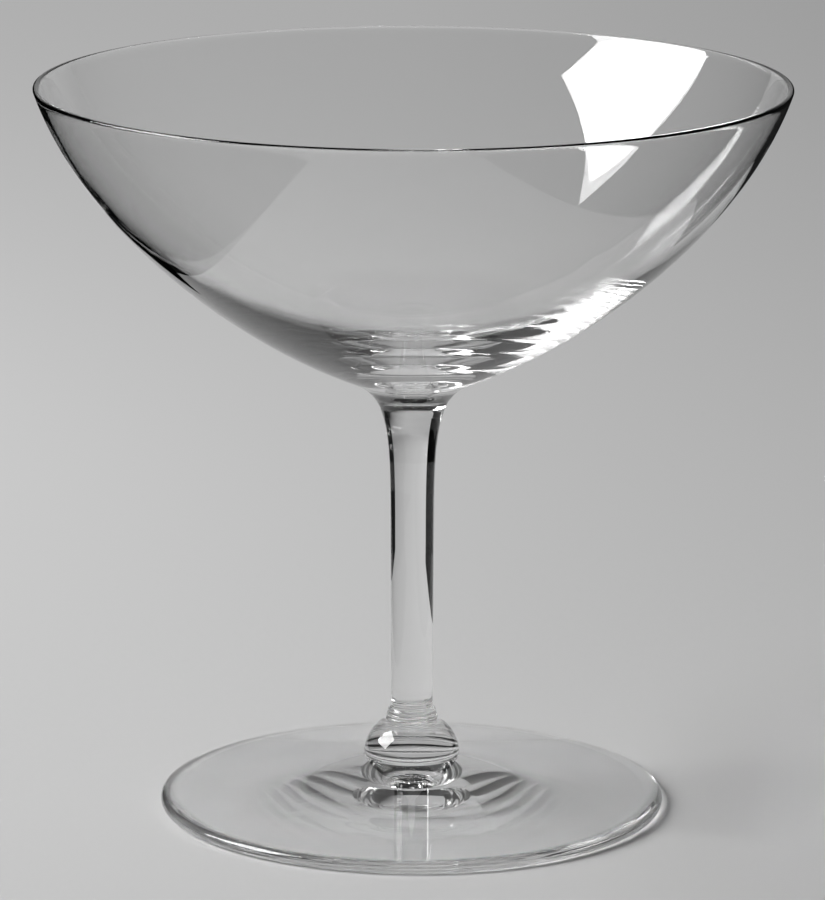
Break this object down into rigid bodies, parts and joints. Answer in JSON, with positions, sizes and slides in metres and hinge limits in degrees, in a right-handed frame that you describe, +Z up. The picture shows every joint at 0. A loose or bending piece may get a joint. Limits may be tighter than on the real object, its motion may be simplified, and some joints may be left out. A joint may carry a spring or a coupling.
{
  "type": "sherbet glass",
  "caption": "Clear stemmed glass with a wide thin bowl on a slim solid stem, a ringed collar, a domed knop and a round hollow foot, for serving sherbet or drinks.",
  "frame": {"origin": "centre of the foot, on the plane it rests on", "axes": "+Z up along the stem, through the middle of the bowl; X and Y lie in the plane of the table"},
  "size_m": [0.11, 0.11, 0.108],
  "materials": {
    "bowl_glass": "clear, fire-polished",
    "stem_glass": "clear, fire-polished",
    "collar_glass": "clear, tooled rings",
    "knop_glass": "clear, fire-polished",
    "foot_glass": "clear, fire-polished"
  },
  "bodies": {
    "root": {"bowl": "bowl_glass", "stem": "stem_glass", "collar": "collar_glass", "knop": "knop_glass", "foot": "foot_glass"}
  },
  "joints": []
}
